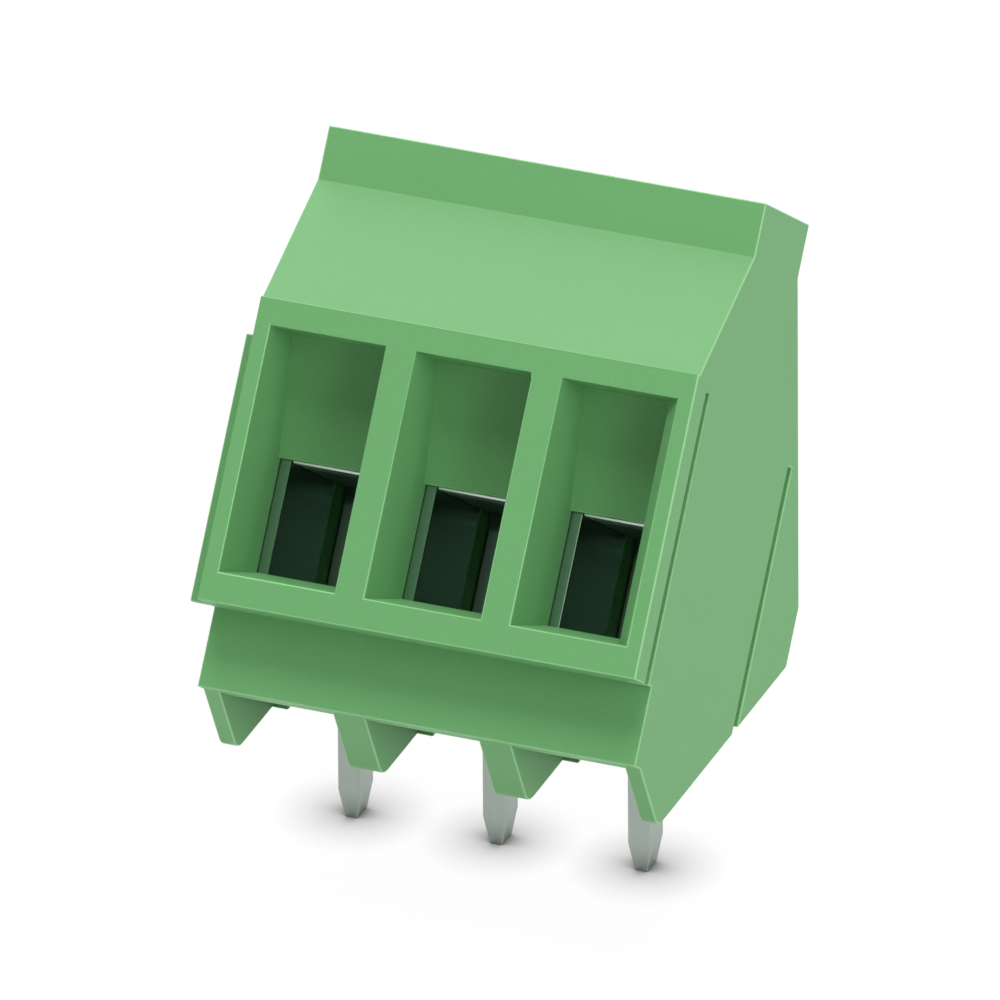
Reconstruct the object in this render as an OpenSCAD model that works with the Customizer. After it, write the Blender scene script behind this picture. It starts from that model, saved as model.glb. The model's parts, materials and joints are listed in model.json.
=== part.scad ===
// Three-pole screw terminal for a circuit board, with slanted wire entry.
// Origin: where the middle solder pin's axis crosses the board's surface.
// +X runs along the row of poles, +Y to the back, +Z up. All sizes in millimetres.

/* [Layout] */
// Distance from one wire position to the next
pitch = 5.08; // [5:0.02:5.6]
// Slant of the wire entry below level, in degrees
wire_angle = 35; // [33:0.5:37]
// Distance of the pin axes behind the front end of the flat bottom
pin_setback = 4.95; // [4.75:0.05:5.15]

/* [Housing outline] */
// Depth of the flat bottom, front to back
base_depth = 11.14; // [10.8:0.02:12]
// Height of the front face's lower edge above the board
face_z = 6.46; // [6.3:0.02:6.6]
// Overhang of the front face's lower edge in front of the flat bottom
face_overhang = 2.37; // [2.2:0.01:2.5]
// Height of the front face along its slant
face_h = 10.09; // [9.9:0.01:10.6]
// Set-back of the sloping roof behind the front face
face_ledge = 0.15; // [0:0.05:0.3]
// Length of the sloping roof
roof_len = 5.25; // [5:0.05:5.6]
// Rise of the sloping roof above level, in degrees
roof_angle = 21; // [19:0.5:23]
// Height of the ridge above the sloping roof
ridge_step = 1.79; // [1.4:0.01:2.4]
// Width of the ridge's top, front to back
ridge_w = 4.71; // [4.6:0.01:5]
// Depth of the frame's underside in front of the skirt
frame_depth = 1.79; // [1.5:0.01:2]
// Height of the skirt along its slant
skirt_h = 2.64; // [2.2:0.01:2.9]
// Set-back of the feet behind the skirt's lower edge
foot_setback = 0.6; // [0.4:0.01:0.8]
// Lead of the feet's toe in front of the flat bottom, before rounding
toe_lead = 0.42; // [0.2:0.01:0.6]
// Radius of the feet's rounded toe
toe_r = 0.74; // [0.3:0.01:0.8]

/* [Wire pockets] */
// Width of a pocket at the front face
pocket_w = 4.045; // [3.95:0.005:4.15]
// Height of the sill below a pocket
pocket_sill = 1.01; // [0.9:0.01:1.15]
// Height of a pocket along the front face
pocket_h = 8.2; // [7.8:0.05:8.4]
// Inward draw of each side wall at the pocket's inner end
pocket_draw = 0.236; // [0.1:0.002:0.3]
// Rise of the pocket's floor towards its inner end
floor_rise = 0.45; // [0.3:0.01:0.5]
// Depth of the guide wall at the pocket's top
guide_depth = 1.88; // [1.6:0.01:2.2]
// Height of the guide wall, from the pocket's top to its lip
guide_h = 3.96; // [3.8:0.01:4.1]
// Thickness left at the guide wall's lip
lip_t = 0.2; // [0.1:0.01:0.4]
// Inward step of the last pocket's right wall, which backs the front groove
groove_back = 0.45; // [0.35:0.01:0.5]
// Depth of the bevel that leads to that step
groove_back_bevel = 0.5; // [0.4:0.01:0.7]

/* [Tongues and grooves] */
// Height of the tongues on the left end
tongue_h = 0.61; // [0.4:0.01:0.62]
// Thickness of the tongues
tongue_t = 0.36; // [0.3:0.01:0.55]
// Clearance of a tongue in a groove, each side
tongue_fit = 0.03; // [0.01:0.01:0.06]
// Depth of the front tongue's middle plane behind the front face
tongue_front = 1.27; // [1.1:0.01:1.35]
// Distance from the front tongue to the rear one
tongue_spacing = 9.7; // [9.4:0.01:9.8]
// Height of the front groove's top above the front face's lower edge
groove_top = 9.65; // [9:0.01:9.8]
// Drop of the rear groove's top below the front one's
groove_drop = 1.05; // [0.5:0.01:2]
// Distance of a tongue's top below its groove's top
tongue_gap = 0.75; // [0.4:0.01:1.5]

/* [Clamp sleeve] */
// Width of the sleeve's inside
sleeve_inner_w = 2.85; // [2.7:0.01:2.9]
// Thickness of the sleeve's sides and floor
sleeve_wall = 0.5; // [0.4:0.01:0.52]
// Thickness of the sleeve's threaded roof
sleeve_roof = 1.5; // [1.2:0.01:1.7]
// Length of the sleeve along the wire
sleeve_len = 4.65; // [4.4:0.01:4.7]
// Outer corner radius of the sleeve
sleeve_r = 0.45; // [0.2:0.01:0.45]
// Running clearance of the sleeve on each side of its cell
slide_fit = 0.05; // [0.03:0.01:0.08]
// Depth below the pocket's floor of the open sleeve's floor
floor_drop = 0.05; // [0.02:0.01:0.1]
// Wire gap that is left when the empty sleeve is fully drawn up
closed_gap = 0.1; // [0.05:0.01:0.5]
// Depth of the grip grooves across the sleeve's floor
grip_depth = 0.12; // [0.05:0.01:0.2]
// Spacing of the grip grooves
grip_pitch = 0.9; // [0.7:0.01:1]

/* [Contact] */
// Thickness of the current bar and its leg
bar_t = 1.05; // [0.9:0.01:1.1]
// Reach of the current bar's lower edge below the guide wall's lip
bar_show = 0.08; // [0.02:0.01:0.1]
// Clearance of the current bar on each side, in sleeve and slot
bar_fit = 0.05; // [0.03:0.01:0.08]
// Inner radius of the bend between bar and leg
bend_r = 0.6; // [0.3:0.01:0.7]
// Distance of the leg behind the sleeve's cell
leg_gap = 1; // [0.8:0.01:1.1]
// Width of a solder pin along the row
pin_w = 0.84; // [0.7:0.01:1]
// Length of a solder pin below the board's surface
pin_len = 4.68; // [3:0.01:5]
// Length of a solder pin's tapered tip
tip_len = 1.04; // [0.6:0.01:1.3]
// Width of a solder pin's end along the row
tip_w = 0.46; // [0.3:0.01:0.6]
// Depth of a solder pin's end, front to back
tip_depth = 0.84; // [0.6:0.01:0.88]
// Height of the leg's shoulders above the board's surface
shoulder_z = 1.15; // [0.9:0.01:1.5]

/* [Clamp screw] */
// Thread diameter, less than the sleeve's inside so that the shank passes into it
screw_d = 2.5; // [2.2:0.05:2.6]
// Head diameter
head_d = 3.8; // [3.7:0.05:4]
// Head height
head_h = 1.55; // [1.2:0.05:1.7]
// Bevel round the head's rim
head_bevel = 0.2; // [0.1:0.01:0.3]
// Width of the screwdriver slot
slot_w = 0.7; // [0.5:0.05:0.9]
// Depth of the screwdriver slot
slot_depth = 0.9; // [0.6:0.05:1]
// Bevel at the screw's tip
tip_bevel = 0.3; // [0.1:0.01:0.5]
// Radial running clearance of thread and head
turn_fit = 0.05; // [0.03:0.01:0.08]
// End clearance of the screw against bar, sleeve and housing
end_fit = 0.05; // [0.03:0.01:0.08]
// Diameter of the screwdriver hole in the ridge
driver_d = 3.55; // [3.4:0.05:3.55]

/* [Hidden] */
poles = 3;
$fn = 64;
cut = 30; // reach of a cut that runs clear of the part
past = 1; // reach of a cut past the face that it opens
skin = 0.02; // overlap of two cuts that join
arc_steps = 6;

width = poles * pitch;
front_y = -pin_setback;

// Unit vectors of the slanted frame, as [Y, Z]: up along the front face, and in along the wire
up = [sin(wire_angle), cos(wire_angle)];
in = [cos(wire_angle), -sin(wire_angle)];

// Corners of the side outline, as [Y, Z]
face_bottom = [front_y - face_overhang, face_z];
face_top = face_bottom + face_h * up;
roof_front = face_top + face_ledge * in;
roof_back = roof_front + roof_len * [cos(roof_angle), sin(roof_angle)];
ridge_front = roof_back + ridge_step * up;
ridge_back = ridge_front + ridge_w * in;
back_top = ridge_back - ridge_step * up;
base_back = [front_y + base_depth, 0];
back_bottom = [back_top[0], (back_top[0] - base_back[0]) * up[1] / up[0]];
skirt_top = face_bottom + frame_depth * in;
skirt_bottom = skirt_top - skirt_h * up;
foot_top = skirt_bottom + foot_setback * in;
toe = [front_y - toe_lead, 0];

// Depths (along the wire) and heights (along the front face) in the slanted frame
axis_v = face_ledge + roof_len * cos(roof_angle + wire_angle) + ridge_w / 2;
ridge_u = face_h + roof_len * sin(roof_angle + wire_angle) + ridge_step;
cell_front = axis_v - sleeve_len / 2 - slide_fit;
cell_back = axis_v + sleeve_len / 2 + slide_fit;
leg_front = cell_back + leg_gap;
leg_back = leg_front + bar_t;
pocket_top = pocket_sill + pocket_h;
lip_u = pocket_top - guide_h;
bar_bottom = lip_u - bar_show;
bar_top = bar_bottom + bar_t;
bar_w = sleeve_inner_w - 2 * bar_fit;

// Sleeve at its lowest, wide open, and its way up
sleeve_w = sleeve_inner_w + 2 * sleeve_wall;
sleeve_floor = pocket_sill + floor_rise - floor_drop;
sleeve_bottom = sleeve_floor - sleeve_wall;
roof_bottom = bar_top + end_fit;
sleeve_top = roof_bottom + sleeve_roof;
travel = bar_bottom - sleeve_floor - closed_gap;

cell_w = sleeve_w + 2 * slide_fit;
cell_top = sleeve_top + travel + end_fit;
head_bottom = cell_top + end_fit;
head_top = head_bottom + head_h;
driver_bottom = head_top + end_fit;
screw_bottom = bar_top + end_fit;

// Knee where the slanted leg turns down into the pin, and half the mitre across it
leg_middle = (leg_front + leg_back) / 2;
knee_u = -(face_bottom[0] + leg_middle * in[0]) / up[0];
knee_z = face_z + leg_middle * in[1] + knee_u * up[1];
knee_mitre = bar_t / 2 * tan(wire_angle / 2);

// Height at which the leg slot's slanted back meets the upright relief behind the pin
relief_u = (bar_t / 2 + bar_fit - face_bottom[0] - leg_back * in[0]) / up[0];

// Point of the side view, as [Y, Z], at depth v and height u in the slanted frame
function slant(v, u) = face_bottom + v * in + u * up;

function unit(p) = p / norm(p);

// Rounds corner b between a and c with radius r
function rounded(a, b, c, r) =
    let (
        to_a = unit(a - b),
        to_c = unit(c - b),
        half = acos(to_a * to_c) / 2,
        centre = b + unit(to_a + to_c) * r / sin(half),
        start = b + to_a * r / tan(half) - centre,
        finish = b + to_c * r / tan(half) - centre,
        turn = atan2(start[0] * finish[1] - start[1] * finish[0], start * finish)
    )
    [for (i = [0:arc_steps])
        let (t = turn * i / arc_steps)
        centre + [start[0] * cos(t) - start[1] * sin(t), start[0] * sin(t) + start[1] * cos(t)]];

function pole_x(n) = (n - (poles + 1) / 2) * pitch;

// Places children in the slanted frame: x along the row, y in along the wire, z up along the front face
module slanted() {
    translate([0, face_bottom[0], face_bottom[1]]) rotate([-wire_angle, 0, 0]) children();
}

// Extrudes a side view, given as [Y, Z] or [depth, height], along the row from x1 to x2
module across(x1, x2) {
    translate([x1, 0, 0]) rotate([90, 0, 90]) linear_extrude(height = x2 - x1) children();
}

module side_outline() {
    polygon(concat(
        [face_bottom, face_top, roof_front, roof_back, ridge_front, ridge_back, back_top,
         back_bottom, base_back],
        rounded(base_back, toe, foot_top, toe_r),
        [foot_top, skirt_bottom, skirt_top]
    ));
}

// Wire pocket: sides that draw in, a floor that rises, and a guide wall that leads down to the cell
module pocket(step) {
    far = cell_front + skin;
    half = pocket_w / 2;
    slope = pocket_draw / cell_front;
    right = step > 0
        ? [[half - step, far], [half - step, groove_back_bevel], [half, 0], [half + slope * past, -past]]
        : [[half - slope * far, far], [half + slope * past, -past]];
    intersection() {
        translate([0, 0, -cut / 2]) linear_extrude(height = cut)
            polygon(concat([[-half - slope * past, -past], [-half + slope * far, far]], right));
        across(-cut / 2, cut / 2) polygon([
            [-past, pocket_sill - floor_rise * past / cell_front],
            [far, pocket_sill + floor_rise * far / cell_front],
            [far, lip_u],
            [cell_front - lip_t, lip_u],
            [guide_depth, pocket_top],
            [-past, pocket_top]
        ]);
    }
}

// Hollow of one pole: sleeve cell and leg slot, open below, and head bore and screwdriver hole above
module cell() {
    leg_slot_w = bar_w + 2 * bar_fit;
    across(-cell_w / 2, cell_w / 2) polygon([
        [cell_front, cell_top], [cell_back, cell_top], [cell_back, -cut],
        [-cut, -cut], [frame_depth + foot_setback, -skirt_h], [cell_front, -skirt_h]
    ]);
    across(-leg_slot_w / 2, leg_slot_w / 2) polygon([
        [cell_back - skin, bar_top], [leg_back, bar_top], [leg_back, relief_u],
        [leg_back + cut * up[0], relief_u - cut * up[1]], [cell_back - skin, -2 * cut]
    ]);
    translate([0, axis_v, cell_top - skin])
        cylinder(d = head_d + 2 * turn_fit, h = driver_bottom - cell_top + skin);
    translate([0, axis_v, driver_bottom - skin])
        cylinder(d = driver_d, h = ridge_u - driver_bottom + past);
}

module tongues() {
    for (i = [0, 1]) {
        middle = tongue_front + i * tongue_spacing;
        top = groove_top - i * groove_drop - tongue_gap;
        intersection() {
            across(-width / 2 - tongue_h, -width / 2 + skin) side_outline();
            slanted() translate([-cut, middle - tongue_t / 2, -cut]) cube([cut, tongue_t, cut + top]);
        }
    }
}

module grooves() {
    groove_w = tongue_t + 2 * tongue_fit;
    for (i = [0, 1]) {
        middle = tongue_front + i * tongue_spacing;
        top = groove_top - i * groove_drop;
        translate([width / 2 - tongue_h - tongue_fit, middle - groove_w / 2, -cut])
            cube([cut, groove_w, cut + top]);
    }
}

module housing() {
    color([0.45, 0.7, 0.45]) {
        difference() {
            across(-width / 2, width / 2) side_outline();
            slanted() {
                for (n = [1:poles]) translate([pole_x(n), 0, 0]) {
                    pocket(n == poles ? groove_back : 0);
                    cell();
                }
                grooves();
            }
        }
        tongues();
    }
}

// Side view of a contact as [Y, Z]: a strip bent down behind the sleeve, then upright as the pin
module contact_outline() {
    end_low = slant(cell_front, bar_bottom);
    end_high = slant(cell_front, bar_top);
    half = bar_t / 2;
    tip_top = tip_len - pin_len;
    polygon(concat(
        [end_low],
        rounded(end_low, slant(leg_front, bar_bottom), slant(leg_front, knee_u), bend_r),
        [
            [-half, knee_z + knee_mitre], [-half, tip_top], [-tip_depth / 2, -pin_len],
            [tip_depth / 2, -pin_len], [half, tip_top], [half, knee_z - knee_mitre]
        ],
        rounded(slant(leg_back, knee_u), slant(leg_back, bar_top), end_high, bend_r + bar_t),
        [end_high]
    ));
}

module contact(n) {
    top = slant(cell_front, bar_top)[1] + past;
    side = bar_w / 2 + past;
    color([0.62, 0.66, 0.64]) translate([pole_x(n), 0, 0]) intersection() {
        across(-bar_w / 2, bar_w / 2) contact_outline();
        translate([0, cut / 2, 0]) rotate([90, 0, 0]) linear_extrude(height = cut) polygon([
            [-side, top], [-side, shoulder_z], [-pin_w / 2, shoulder_z],
            [-pin_w / 2, tip_len - pin_len], [-tip_w / 2, -pin_len], [-tip_w / 2, -pin_len - past],
            [tip_w / 2, -pin_len - past], [tip_w / 2, -pin_len], [pin_w / 2, tip_len - pin_len],
            [pin_w / 2, shoulder_z], [side, shoulder_z], [side, top]
        ]);
    }
}

module rounded_rect(w, h, r) {
    corners = [[-w / 2, 0], [w / 2, 0], [w / 2, h], [-w / 2, h]];
    polygon([for (i = [0:3]) each rounded(corners[(i + 3) % 4], corners[i], corners[(i + 1) % 4], r)]);
}

module tension_sleeve(n) {
    reach = sleeve_len / 2 + past;
    notch = [[-grip_depth, 0], [0, -grip_depth], [grip_depth, 0]];
    color([0.42, 0.46, 0.44]) translate([pole_x(n), 0, 0]) slanted() difference() {
        translate([0, axis_v + sleeve_len / 2, sleeve_bottom]) rotate([90, 0, 0])
            linear_extrude(height = sleeve_len)
            rounded_rect(sleeve_w, sleeve_top - sleeve_bottom, sleeve_r);
        across(-sleeve_inner_w / 2, sleeve_inner_w / 2) polygon(concat(
            [[axis_v - reach, sleeve_floor]],
            [for (i = [-1:1], corner = notch) [axis_v + i * grip_pitch, sleeve_floor] + corner],
            [
                [axis_v + reach, sleeve_floor],
                [axis_v + reach, roof_bottom],
                [axis_v - reach, roof_bottom]
            ]
        ));
        translate([0, axis_v, roof_bottom - past])
            cylinder(d = screw_d + 2 * turn_fit, h = sleeve_roof + 2 * past);
    }
}

module clamp_screw(n) {
    color([0.7, 0.72, 0.7])
    translate([pole_x(n), 0, 0]) slanted() translate([0, axis_v, 0]) difference() {
        union() {
            translate([0, 0, screw_bottom])
                cylinder(d1 = screw_d - 2 * tip_bevel, d2 = screw_d, h = tip_bevel);
            translate([0, 0, screw_bottom + tip_bevel])
                cylinder(d = screw_d, h = head_bottom - screw_bottom - tip_bevel);
            translate([0, 0, head_bottom]) cylinder(d = head_d, h = head_h - head_bevel);
            translate([0, 0, head_top - head_bevel])
                cylinder(d1 = head_d, d2 = head_d - 2 * head_bevel, h = head_bevel);
        }
        translate([-head_d, -slot_w / 2, head_top - slot_depth]) cube([2 * head_d, slot_w, head_h]);
    }
}

housing();
contact(1);  // contact_1
contact(2);  // contact_2
contact(3);  // contact_3
tension_sleeve(1);  // tension_sleeve_1
tension_sleeve(2);  // tension_sleeve_2
tension_sleeve(3);  // tension_sleeve_3
clamp_screw(1);  // clamp_screw_1
clamp_screw(2);  // clamp_screw_2
clamp_screw(3);  // clamp_screw_3
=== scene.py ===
# Three-pole screw terminal for a circuit board: bevelled moulded housing, tinned contacts,
# plated clamp sleeves and slotted, threaded screws, standing on its pins on a white studio floor
import json
import math
import bmesh
import bpy
import numpy as np
from mathutils import Matrix, Vector


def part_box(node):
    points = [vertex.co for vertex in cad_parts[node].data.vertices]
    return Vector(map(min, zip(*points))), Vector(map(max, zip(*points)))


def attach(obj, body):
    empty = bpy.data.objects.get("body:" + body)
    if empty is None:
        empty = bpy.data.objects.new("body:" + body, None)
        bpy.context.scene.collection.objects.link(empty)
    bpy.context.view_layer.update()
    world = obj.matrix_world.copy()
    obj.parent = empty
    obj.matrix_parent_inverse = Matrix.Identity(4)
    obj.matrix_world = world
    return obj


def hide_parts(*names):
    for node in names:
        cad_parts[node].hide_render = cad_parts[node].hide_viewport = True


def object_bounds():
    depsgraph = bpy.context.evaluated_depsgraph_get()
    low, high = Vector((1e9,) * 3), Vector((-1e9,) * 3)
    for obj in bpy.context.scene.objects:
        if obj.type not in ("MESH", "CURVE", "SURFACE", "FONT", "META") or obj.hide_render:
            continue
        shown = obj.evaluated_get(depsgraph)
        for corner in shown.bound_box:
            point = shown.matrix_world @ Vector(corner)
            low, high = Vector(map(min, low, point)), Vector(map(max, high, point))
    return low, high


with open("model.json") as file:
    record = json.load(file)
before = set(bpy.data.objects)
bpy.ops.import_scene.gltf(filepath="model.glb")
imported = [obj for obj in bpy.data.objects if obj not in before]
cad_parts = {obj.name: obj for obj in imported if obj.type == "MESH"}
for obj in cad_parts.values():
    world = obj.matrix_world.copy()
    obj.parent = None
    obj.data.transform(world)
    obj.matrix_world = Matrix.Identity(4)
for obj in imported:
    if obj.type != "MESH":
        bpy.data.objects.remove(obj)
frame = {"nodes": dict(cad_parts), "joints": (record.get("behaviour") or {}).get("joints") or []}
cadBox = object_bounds()
print("frame loaded:", len(frame["nodes"]), "nodes")

mm = 0.001
poleCount = 3


# Shader maths
class Wire:
    # A shader socket: arithmetic on it adds Math nodes to its tree
    def __init__(self, nodes, socket):
        self.nodes = nodes
        self.socket = socket

    def maths(self, operation, *values):
        return self.nodes.add("ShaderNodeMath", {"operation": operation}, values)

    def __add__(self, other):
        return self.maths("ADD", self, other)

    def __radd__(self, other):
        return self.maths("ADD", other, self)

    def __sub__(self, other):
        return self.maths("SUBTRACT", self, other)

    def __rsub__(self, other):
        return self.maths("SUBTRACT", other, self)

    def __mul__(self, other):
        return self.maths("MULTIPLY", self, other)

    def __rmul__(self, other):
        return self.maths("MULTIPLY", other, self)

    def __pow__(self, other):
        return self.maths("POWER", self, other)

    def __rpow__(self, other):
        return self.maths("POWER", other, self)

    def atLeast(self, other):
        return self.maths("MAXIMUM", self, other)

    def sine(self):
        return self.maths("SINE", self)

    def ramp(self, low, high):
        # 0 at low and 1 at high, straight between, held beyond
        return self.nodes.add("ShaderNodeMapRange", {"clamp": True}, [self, low, high, 0.0, 1.0])


class Nodes:
    # A node tree built up in code
    def __init__(self, tree):
        self.tree = tree
        tree.nodes.clear()

    def put(self, socket, value):
        # Links a wire to a socket, or sets the socket's own value
        if isinstance(value, Wire):
            self.tree.links.new(value.socket, socket)
        elif socket.type == "RGBA":
            socket.default_value = (*value, 1.0)
        else:
            socket.default_value = value

    def add(self, kind, settings=None, values=(), output=0):
        # A node of any kind: settings first, then socket values or links by order or by name
        made = self.tree.nodes.new(kind)
        for key, value in (settings or {}).items():
            setattr(made, key, value)
        pairs = values.items() if isinstance(values, dict) else enumerate(values)
        for key, value in pairs:
            self.put(made.inputs[key], value)
        return Wire(self, made.outputs[output]) if made.outputs else None

    def place(self, scale=(1.0, 1.0, 1.0), turn=(0.0, 0.0, 0.0)):
        # Object coordinates, turned and scaled
        here = self.add("ShaderNodeTexCoord", output="Object")
        return self.add("ShaderNodeMapping", values={"Vector": here, "Rotation": turn, "Scale": scale})

    def noise(self, where, scale, detail=2.0, harshness=0.5):
        values = {"Vector": where, "Scale": scale, "Detail": detail, "Roughness": harshness}
        return self.add("ShaderNodeTexNoise", values=values)

    def mix(self, share, first, second):
        # Colour mix: first where share is 0, second where it is 1
        return self.add("ShaderNodeMix", {"data_type": "RGBA"}, {0: share, 6: first, 7: second}, output=2)

    def bump(self, height, distance):
        return self.add("ShaderNodeBump", values={"Height": height, "Distance": distance})

    def attribute(self, name, output="Fac"):
        return self.add("ShaderNodeAttribute", {"attribute_name": name}, output=output)

    def seen(self):
        # 1 for rays that show the studio itself, directly or in metal, and 0 for rays that light it
        camera, glossy, through = (
            self.add("ShaderNodeLightPath", output=f"Is {name} Ray")
            for name in ("Camera", "Glossy", "Transmission")
        )
        return camera.atLeast(glossy).atLeast(through)


class Finish(Nodes):
    # One material: a Principled shader and the nodes that feed it
    def __init__(self, name, **constants):
        self.material = bpy.data.materials.new(name)
        self.material.use_nodes = True
        super().__init__(self.material.node_tree)
        self.shader = self.add("ShaderNodeBsdfPrincipled", values=constants)
        self.add("ShaderNodeOutputMaterial", values={"Surface": self.shader})

    def feed(self, name, value):
        self.put(self.shader.socket.node.inputs[name], value)

    def colour(self, look, tone):
        # From dull to bright as the tone rises through its range, with the lighter edge colour on the
        # rounded edges: a painted highlight
        low, high = look["toneRange"]
        plain = self.mix(tone.ramp(low, high), look["dull"], look["bright"])
        return self.mix(self.attribute("edge") * look["edgeHighlightShare"], plain, look["edge"])


# Finishes
def plasticFinish():
    look = {
        "bright": (0.144, 0.396, 0.143), "dull": (0.132, 0.366, 0.131), "edge": (0.270, 0.590, 0.268),
        "refraction": 1.47, "toneRange": (0.34, 0.66), "edgeHighlightShare": 0.85, "edgePolish": 0.08,
        "roughness": 0.46, "roughnessSpread": 0.14, "grainShare": 0.85, "grainScale": 12500.0,
        "grainDetail": 3.0, "grainHarshness": 0.6, "grainDepth": 0.0021 * mm, "cloudScale": 420.0,
    }
    finish = Finish("greenPlastic", IOR=look["refraction"])
    where = finish.place()
    cloud = finish.noise(where, look["cloudScale"])
    grain = finish.noise(where, look["grainScale"], look["grainDetail"], look["grainHarshness"])
    tone = grain * look["grainShare"] + cloud * (1.0 - look["grainShare"])
    polish = finish.attribute("edge") * look["edgePolish"]
    finish.feed("Base Color", finish.colour(look, tone))
    finish.feed("Roughness", look["roughness"] + grain * look["roughnessSpread"] - polish)
    finish.feed("Normal", finish.bump(grain, look["grainDepth"]))
    return finish.material


def tinFinish():
    look = {
        # The green tint of these tin colours is a painted reflection of the green housing
        "bright": (0.380, 0.440, 0.395), "dull": (0.345, 0.400, 0.358), "edge": (0.43, 0.49, 0.45),
        # inner: painted shade inside the cell; end: painted highlight at the bar's end
        "inner": (0.150, 0.230, 0.180), "end": (0.74, 0.78, 0.75),
        "pinTop": 1.4 * mm, "barEnd": 8.0 * mm, "fade": 0.8 * mm,
        "toneRange": (0.34, 0.66), "edgeHighlightShare": 0.8, "roughness": 0.38, "roughnessSpread": 0.14,
        "streakScales": (5200.0, 5200.0, 260.0), "spotShare": 0.6, "spotScale": 1400.0,
        "spotDetail": 3.0, "grainDepth": 0.0005 * mm,
    }
    finish = Finish("tinPlating", Metallic=1.0)
    where = finish.place()
    streak = finish.noise(finish.place(look["streakScales"]), 1.0)
    spot = finish.noise(where, look["spotScale"], look["spotDetail"])
    tone = spot * look["spotShare"] + streak * (1.0 - look["spotShare"])
    height = finish.add("ShaderNodeSeparateXYZ", values=[where], output="Z")
    paintedShadeAbovePin = height.ramp(look["pinTop"], look["pinTop"] + look["fade"])
    paintedHighlightAtEnd = height.ramp(look["barEnd"], look["barEnd"] + look["fade"])
    # Tinned on the pin; inside the cell above it a darker, greener colour, a painted shade; at the bar's
    # upper end a much lighter colour, a painted highlight
    strip = finish.mix(paintedShadeAbovePin, finish.colour(look, tone), look["inner"])
    finish.feed("Base Color", finish.mix(paintedHighlightAtEnd, strip, look["end"]))
    finish.feed("Roughness", look["roughness"] + spot * look["roughnessSpread"])
    finish.feed("Normal", finish.bump(tone, look["grainDepth"]))
    return finish.material


def nickelFinish():
    look = {
        # These colours are darker and greener than bare nickel: painted shade inside the cells and a
        # painted reflection of the green housing
        "bright": (0.225, 0.345, 0.255), "dull": (0.20, 0.31, 0.23), "edge": (0.25, 0.37, 0.28),
        "toneRange": (0.3, 0.7), "edgeHighlightShare": 0.6, "roughness": 0.20, "roughnessSpread": 0.08,
        "streakScales": (14000.0, 600.0, 14000.0), "streakTurn": (math.radians(35.0), 0.0, 0.0),
        "spotScale": 2600.0, "spotDetail": 3.0, "grainDepth": 0.0002 * mm,
    }
    finish = Finish("nickelPlating", Metallic=1.0)
    along = finish.place(look["streakScales"], look["streakTurn"])  # the streaks run along the wire
    streak = finish.noise(along, 1.0)
    spot = finish.noise(finish.place(), look["spotScale"], look["spotDetail"])
    finish.feed("Base Color", finish.colour(look, streak))
    finish.feed("Roughness", look["roughness"] + spot * look["roughnessSpread"])
    finish.feed("Normal", finish.bump(streak, look["grainDepth"]))
    return finish.material


def zincFinish():
    look = {
        "bright": (0.63, 0.645, 0.635), "dull": (0.50, 0.515, 0.51), "edge": (0.74, 0.75, 0.74),
        "toneRange": (0.25, 0.75), "edgeHighlightShare": 0.7, "roughness": 0.24, "roughnessSpread": 0.14,
        "spotScale": 2400.0, "spotDetail": 3.0, "spotShare": 0.7, "ringPitch": 0.05 * mm,
        "wobbleScale": 900.0, "wobbleDetail": 1.0, "wobble": 2.0, "reliefDepth": 0.0016 * mm,
        "ringRelief": 0.6,
    }
    finish = Finish("zincPlating", Metallic=1.0)
    across = finish.attribute("turning", "Vector")
    flat = finish.add("ShaderNodeVectorMath", {"operation": "MULTIPLY"}, [across, (1.0, 1.0, 0.0)])
    radius = finish.add("ShaderNodeVectorMath", {"operation": "LENGTH"}, [flat], output="Value")
    spot = finish.noise(finish.place(), look["spotScale"], look["spotDetail"])
    wobble = finish.noise(finish.place(), look["wobbleScale"], look["wobbleDetail"])
    wave = (radius * (2 * math.pi / look["ringPitch"]) + wobble * look["wobble"]).sine()
    ring = wave * 0.5 + 0.5  # from 0 to 1
    tone = spot * look["spotShare"] + ring * (1.0 - look["spotShare"])
    relief = ring * look["ringRelief"] + spot * (1.0 - look["ringRelief"])
    finish.feed("Base Color", finish.colour(look, tone))
    finish.feed("Roughness", look["roughness"] + spot * look["roughnessSpread"])
    finish.feed("Normal", finish.bump(relief, look["reliefDepth"]))
    return finish.material


# One finish for each of the record's material slots
finishes = {
    "housing": plasticFinish(), "contact": tinFinish(), "sleeve": nickelFinish(), "screw": zincFinish(),
}
print("finishes made:", ", ".join(finishes))


# Pieces that keep a solid's form, with rounded edges
limits = {
    "mergeWithin": 1e-7, "sliver": 1e-8,  # metres: corners this close are one, and edges this short go
    "flat": math.radians(0.5),  # faces that turn by less than this are one face
    "outerEdge": math.radians(25.0),  # outer edges that turn by more than this are rounded
    "sharpEdge": math.radians(32.0), "sharpThread": math.radians(30.0),  # sharp in the shading
    "roofNormal": -0.8,  # a face whose normal's Z is below this is the underside of a roof
    "roofLevel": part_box("tension_sleeve_1")[1][2],  # the cells' roofs lie above the sleeves' tops
}


def meshCorners(mesh):
    # A mesh's corners as rows of X, Y and Z
    corners = np.empty(len(mesh.vertices) * 3)
    mesh.vertices.foreach_get("co", corners)
    return corners.reshape(-1, 3)


def solidArrays(node):
    # A node's corners, merged where they lie on the same point, and its triangles
    mesh = frame["nodes"][node].data
    corners = meshCorners(mesh)
    mesh.calc_loop_triangles()
    triangles = np.empty(len(mesh.loop_triangles) * 3, dtype=np.int32)
    mesh.loop_triangles.foreach_get("vertices", triangles)
    steps = np.round(corners / limits["mergeWithin"])
    merged, first, back = np.unique(steps, axis=0, return_index=True, return_inverse=True)
    triangles = back.reshape(-1)[triangles].reshape(-1, 3)
    whole = (triangles != np.roll(triangles, 1, axis=1)).all(axis=1)
    return corners[first], triangles[whole]


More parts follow.
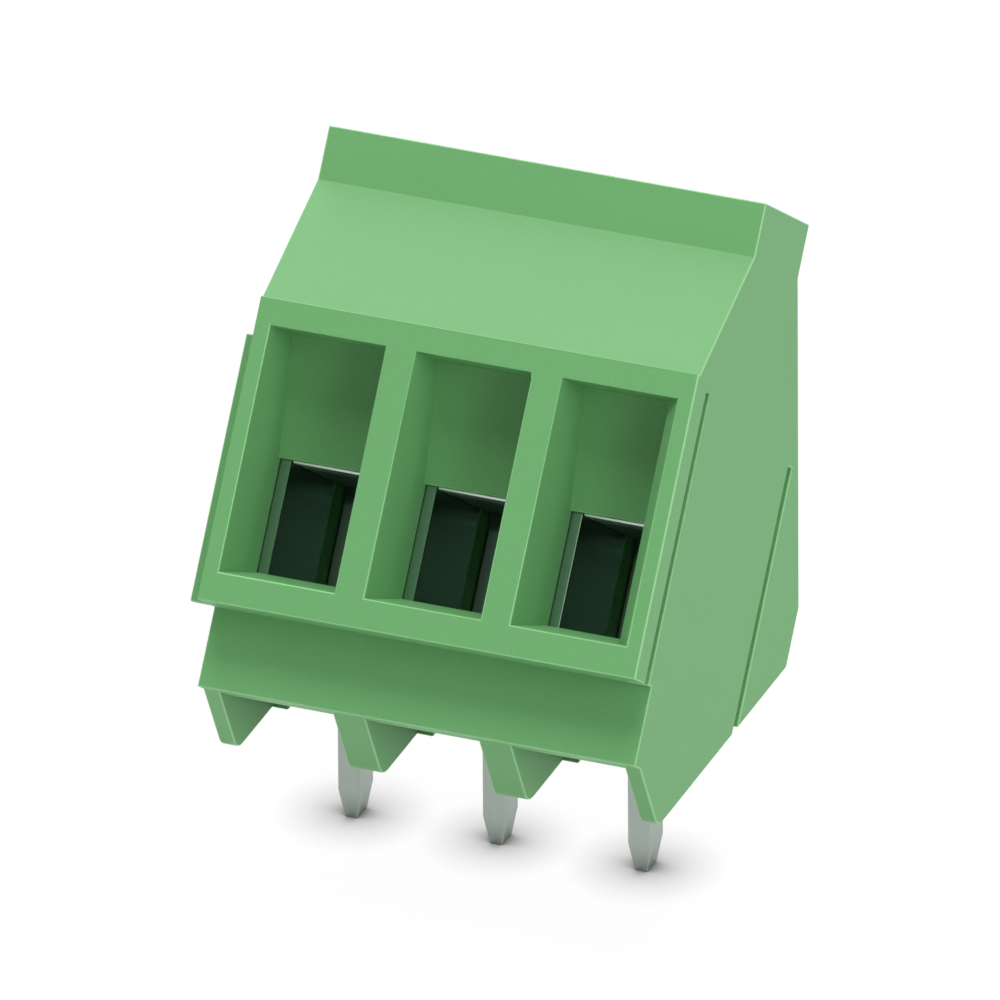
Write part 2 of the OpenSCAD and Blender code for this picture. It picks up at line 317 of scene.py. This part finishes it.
def makeMesh(name, corners, faces):
    mesh = bpy.data.meshes.new(name)
    mesh.from_pydata(corners.tolist(), [], faces.tolist())
    mesh.update()
    return mesh


def startWork(mesh):
    work = bmesh.new()
    work.from_mesh(mesh)
    return work


def endWork(work, mesh):
    work.to_mesh(mesh)
    work.free()
    mesh.update()


def isOuterEdge(edge):
    return len(edge.link_faces) == 2 and edge.calc_face_angle_signed(0.0) > limits["outerEdge"]


def isHiddenRoof(edge):
    # True on an edge of a sleeve cell's roof, which the head bore leaves too narrow to round
    isRoof = any(face.normal.z < limits["roofNormal"] for face in edge.link_faces)
    return isRoof and edge.verts[0].co.z > limits["roofLevel"]


def roundEdges(work, width, segments):
    # Bevels the outer edges, and returns the new faces
    edges = [edge for edge in work.edges if isOuterEdge(edge) and not isHiddenRoof(edge)]
    made = bmesh.ops.bevel(
        work, geom=edges, offset=width, offset_type="OFFSET", segments=segments, profile=0.5,
        affect="EDGES", clamp_overlap=False, loop_slide=True, miter_outer="SHARP", miter_inner="SHARP")
    return made["faces"]


def smoothFaces(work, sharpAngle):
    # Smooth faces, with sharp edges where they turn by at least that angle
    for face in work.faces:
        face.smooth = True
    for edge in work.edges:
        edge.smooth = len(edge.link_faces) == 2 and edge.calc_face_angle(0.0) < sharpAngle


# The rounded faces marked here take the painted edge highlight
def storeEdgeShare(mesh, roundedFaceIndices):
    # Writes 1 on the corners of the rounded edges' faces and 0 elsewhere
    cornerCounts = np.empty(len(mesh.polygons), dtype=np.int32)
    mesh.polygons.foreach_get("loop_total", cornerCounts)
    share = np.zeros(len(mesh.polygons), dtype=np.float32)
    share[roundedFaceIndices] = 1.0
    layer = mesh.attributes.new("edge", "FLOAT", "CORNER")
    layer.data.foreach_set("value", np.repeat(share, cornerCounts))


def cutBelow(work, point, upward):
    # Cuts away what lies below a plane through the point, and closes the cut
    cut = bmesh.ops.bisect_plane(
        work, geom=work.verts[:] + work.edges[:] + work.faces[:], dist=limits["mergeWithin"],
        plane_co=point, plane_no=upward, clear_inner=True)
    rim = [item for item in cut["geom_cut"] if isinstance(item, bmesh.types.BMEdge)]
    bmesh.ops.holes_fill(work, edges=rim)


def roundedCopy(node, name, edges, cutPlane=None):
    # A copy of a node's mesh with flat faces joined up, outer edges rounded, and sharp inner corners
    mesh = makeMesh(name, *solidArrays(node))
    work = startWork(mesh)
    if cutPlane:
        cutBelow(work, *cutPlane)
    bmesh.ops.dissolve_limit(
        work, angle_limit=limits["flat"], verts=work.verts[:], edges=work.edges[:])
    rounded = roundEdges(work, edges["width"], edges["segments"])
    smoothFaces(work, limits["sharpEdge"])
    work.faces.index_update()
    roundedFaceIndices = [face.index for face in rounded if face.is_valid]
    endWork(work, mesh)
    storeEdgeShare(mesh, roundedFaceIndices)
    return mesh


def addPiece(mesh, body, slot, replaced=None):
    # A piece named as its mesh is, in its slot's finish
    piece = bpy.data.objects.new(mesh.name, mesh)
    bpy.context.scene.collection.objects.link(piece)
    mesh.materials.append(finishes[slot])
    flatten = piece.modifiers.new("flatten", "WEIGHTED_NORMAL")  # large faces keep their own normals
    flatten.keep_sharp = True
    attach(piece, body)
    if replaced:
        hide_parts(replaced)


housingEdges = {"width": 0.045 * mm, "segments": 3}
addPiece(roundedCopy("housing", "mouldedHousing", housingEdges), "root", "housing", "housing")
print("housing rounded")

contactEdges = {"width": 0.04 * mm, "segments": 2}
sleeveEdges = {"width": 0.04 * mm, "segments": 2}
for pole in range(1, poleCount + 1):
    barMesh = roundedCopy(f"contact_{pole}", f"currentBar{pole}", contactEdges)
    addPiece(barMesh, "root", "contact", f"contact_{pole}")
    sleeveMesh = roundedCopy(f"tension_sleeve_{pole}", f"clampSleeve{pole}", sleeveEdges)
    addPiece(sleeveMesh, f"sleeve_{pole}", "sleeve", f"tension_sleeve_{pole}")
print("contacts and sleeves rounded")


# Screws: the solid's slotted head, and a thread carried up the shank
screwSizes = {
    "shankRadius": 1.25 * mm, "threadPitch": 0.45 * mm, "threadDepth": 0.26 * mm,
    "profile": ((0.0, 0.0), (0.12, 0.0), (0.5, 1.0), (0.62, 1.0), (0.99, 0.0)),  # of pitch, of depth
    "columns": 72, "tipInset": 0.01 * mm,  # the thread's ends are this much thinner than its root
    "headRadiusFrom": 1.5 * mm, "collar": 0.05 * mm, "overlap": 0.02 * mm,
    "edges": {"width": 0.04 * mm, "segments": 2},
}
sideways = np.array([1.0, 0.0, 0.0])  # square to every screw's axis


def screwFrame(pole):
    # Axis, centre line and end heights of a screw, from its joint and its node
    joint = next(j for j in frame["joints"] if j["name"] == f"screw_turn_{pole}")
    upward = -np.array(joint["axis"], float)
    upward /= np.linalg.norm(upward)
    centre = np.array(joint["pos_m"], float)
    corners = solidArrays(f"clamp_screw_{pole}")[0]
    height = (corners - centre) @ upward
    radius = np.linalg.norm(corners - centre - height[:, None] * upward, axis=1)
    underHead = height[radius > screwSizes["headRadiusFrom"]].min()
    return upward, centre, height.min(), underHead


def threadMesh(name, upward, centre, low, high):
    # The thread's profile carried round the axis: height grows by one pitch a turn, and the radius
    # steps from root to crest and back, held under a cone at the tip and under a neck below the head
    crest, depth, pitch = (screwSizes[k] for k in ("shankRadius", "threadDepth", "threadPitch"))
    phases, shares = np.array(screwSizes["profile"]).T
    turns = np.arange(-1, math.ceil((high - low) / pitch) + 1)
    rise = (turns[:, None] + phases[None, :]).ravel()[:, None]
    angle = np.linspace(0.0, 2 * math.pi, screwSizes["columns"] + 1)[None, :]
    height = np.clip(low + pitch * (rise + angle / (2 * math.pi)), low, high)
    profile = crest - depth * (1.0 - np.tile(shares, len(turns)))[:, None]
    cone = crest - depth - screwSizes["tipInset"] + np.minimum(height - low, high - height)
    radius = np.minimum(profile, cone)
    points = (
        centre + height[..., None] * upward
        + (radius * np.cos(angle))[..., None] * sideways
        + (radius * np.sin(angle))[..., None] * np.cross(upward, sideways))
    index = np.arange(radius.size).reshape(radius.shape)
    quads = np.stack([index[:-1, :-1], index[:-1, 1:], index[1:, 1:], index[1:, :-1]], axis=-1)
    mesh = makeMesh(name, points.reshape(-1, 3), quads.reshape(-1, 4))
    work = startWork(mesh)
    bmesh.ops.remove_doubles(work, verts=work.verts[:], dist=limits["mergeWithin"])
    bmesh.ops.dissolve_degenerate(work, dist=limits["sliver"], edges=work.edges[:])
    bmesh.ops.holes_fill(work, edges=[edge for edge in work.edges if edge.is_boundary])
    bmesh.ops.recalc_face_normals(work, faces=work.faces[:])
    smoothFaces(work, limits["sharpThread"])
    endWork(work, mesh)
    storeEdgeShare(mesh, [])
    return mesh


def storeTurning(mesh, centre, upward):
    # Each corner's place in the screw's own axes, for the rings that turning leaves
    offset = meshCorners(mesh) - centre
    axes = (sideways, np.cross(upward, sideways), upward)
    own = np.stack([offset @ axis for axis in axes], axis=1)
    layer = mesh.attributes.new("turning", "FLOAT_VECTOR", "POINT")
    layer.data.foreach_set("vector", own.astype(np.float32).ravel())


for pole in range(1, poleCount + 1):
    upward, centre, tip, underHead = screwFrame(pole)
    cutHeight = underHead - screwSizes["collar"]  # the head keeps a short collar of the shank
    cutPlane = (Vector(centre + cutHeight * upward), Vector(upward))
    headMesh = roundedCopy(f"clamp_screw_{pole}", f"screwHead{pole}", screwSizes["edges"], cutPlane)
    shankMesh = threadMesh(
        f"screwThread{pole}", upward, centre, tip, cutHeight + screwSizes["overlap"])
    for mesh in (headMesh, shankMesh):
        storeTurning(mesh, centre, upward)
    addPiece(headMesh, f"screw_{pole}", "screw", f"clamp_screw_{pole}")
    addPiece(shankMesh, f"screw_{pole}", "screw")
print("screws threaded")


# Studio: white floor, a faint even surround and five soft lamps, each given by its azimuth from the
# front towards +X, its elevation and its power
studio = {
    "floorSize": 3.0, "floorWhite": (0.88, 0.88, 0.88), "floorGlow": 1.01, "shadowShare": 0.03,
    "contactReach": 2.4 * mm, "contactDepth": 2.0,
    "skyWhite": (1.0, 1.0, 1.0), "skyStrength": 0.04,
    "lampSize": 0.5, "lampDistance": 0.9,
    "lamps": {
        "keyLamp": (60.0, 20.0, 3.15), "highLamp": (60.0, 50.0, 1.05), "leftLamp": (-90.0, 40.0, 0.6),
        "backLamp": (-150.0, 35.0, 3.8), "topLamp": (0.0, 88.0, 6.1),
    },
}


def makeFloor():
    # A matte floor that shows white, with part of the object's shadow, and a contact shadow painted from
    # ambient occlusion where the pins stand
    half = studio["floorSize"] / 2
    low = cadBox[0][2]
    corners = np.array([[-half, -half, low], [half, -half, low], [half, half, low], [-half, half, low]])
    mesh = makeMesh("floor", corners, np.array([[0, 1, 2, 3]]))
    floor = bpy.data.objects.new("floor", mesh)
    bpy.context.scene.collection.objects.link(floor)
    paint = bpy.data.materials.new("studioFloor")
    paint.use_nodes = True
    nodes = Nodes(paint.node_tree)
    matte = nodes.add("ShaderNodeBsdfDiffuse", values={"Color": studio["floorWhite"]})
    white = nodes.add("ShaderNodeEmission", values={"Strength": studio["floorGlow"]})
    free = nodes.add("ShaderNodeAmbientOcclusion", values={"Distance": studio["contactReach"]}, output="AO")
    shown = nodes.add("ShaderNodeMixShader", values={0: free ** studio["contactDepth"], 2: white})
    share = nodes.seen() * (1.0 - studio["shadowShare"])
    mixed = nodes.add("ShaderNodeMixShader", values=[share, matte, shown])
    nodes.add("ShaderNodeOutputMaterial", values={"Surface": mixed})
    mesh.materials.append(paint)


def makeSky():
    # A faint even surround, which shows white in the picture and in metal
    world = bpy.data.worlds.new("paleSurround")
    bpy.context.scene.world = world
    world.use_nodes = True
    nodes = Nodes(world.node_tree)
    strength = studio["skyStrength"] + nodes.seen() * (1.0 - studio["skyStrength"])
    pale = nodes.add("ShaderNodeBackground", values={"Color": studio["skyWhite"], "Strength": strength})
    nodes.add("ShaderNodeOutputWorld", values={"Surface": pale})


def makeLamp(name, azimuth, elevation, power):
    # A soft disc that faces the middle of the part
    turn, tip = math.radians(azimuth), math.radians(elevation)
    outward = Vector((math.sin(turn) * math.cos(tip), -math.cos(turn) * math.cos(tip), math.sin(tip)))
    data = bpy.data.lights.new(name, "AREA")
    data.shape = "DISK"
    data.size = studio["lampSize"]
    data.energy = power
    lamp = bpy.data.objects.new(name, data)
    bpy.context.scene.collection.objects.link(lamp)
    lamp.location = Vector(cadBox[0] + cadBox[1]) / 2 + studio["lampDistance"] * outward
    lamp.rotation_euler = (-outward).to_track_quat("-Z", "Y").to_euler()


# Camera: a long lens at the photograph's angle
camera = {
    "azimuth": 21.659, "elevation": 28.435, "roll": 0.399, "distance": 1.2,
    "frameWidth": 32.465 * mm, "aim": (0.2260 * mm, -0.4142 * mm, 8.1351 * mm),
    "clipNear": 0.1, "clipFar": 5.0,
}


def makeCamera():
    # The camera looks along the view line, which azimuth turns about +Z and elevation tips down
    turn, tip, roll = (math.radians(camera[k]) for k in ("azimuth", "elevation", "roll"))
    right = Vector((math.cos(turn), math.sin(turn), 0.0))
    ahead = Vector((-math.sin(turn) * math.cos(tip), math.cos(turn) * math.cos(tip), -math.sin(tip)))
    down = ahead.cross(right)
    across = math.cos(roll) * right + math.sin(roll) * down
    above = math.sin(roll) * right - math.cos(roll) * down
    data = bpy.data.cameras.new("camera")
    data.lens = data.sensor_width * camera["distance"] / camera["frameWidth"]
    data.clip_start = camera["clipNear"]
    data.clip_end = camera["clipFar"]
    viewer = bpy.data.objects.new("camera", data)
    bpy.context.scene.collection.objects.link(viewer)
    place = Vector(camera["aim"]) - camera["distance"] * ahead
    turned = Matrix((across, above, -ahead)).transposed().to_4x4()
    viewer.matrix_world = Matrix.Translation(place) @ turned
    bpy.context.scene.camera = viewer


makeFloor()
makeSky()
for lampName, setting in studio["lamps"].items():
    makeLamp(lampName, *setting)
makeCamera()
bpy.context.scene.view_settings.view_transform = "Standard"
print("studio ready")
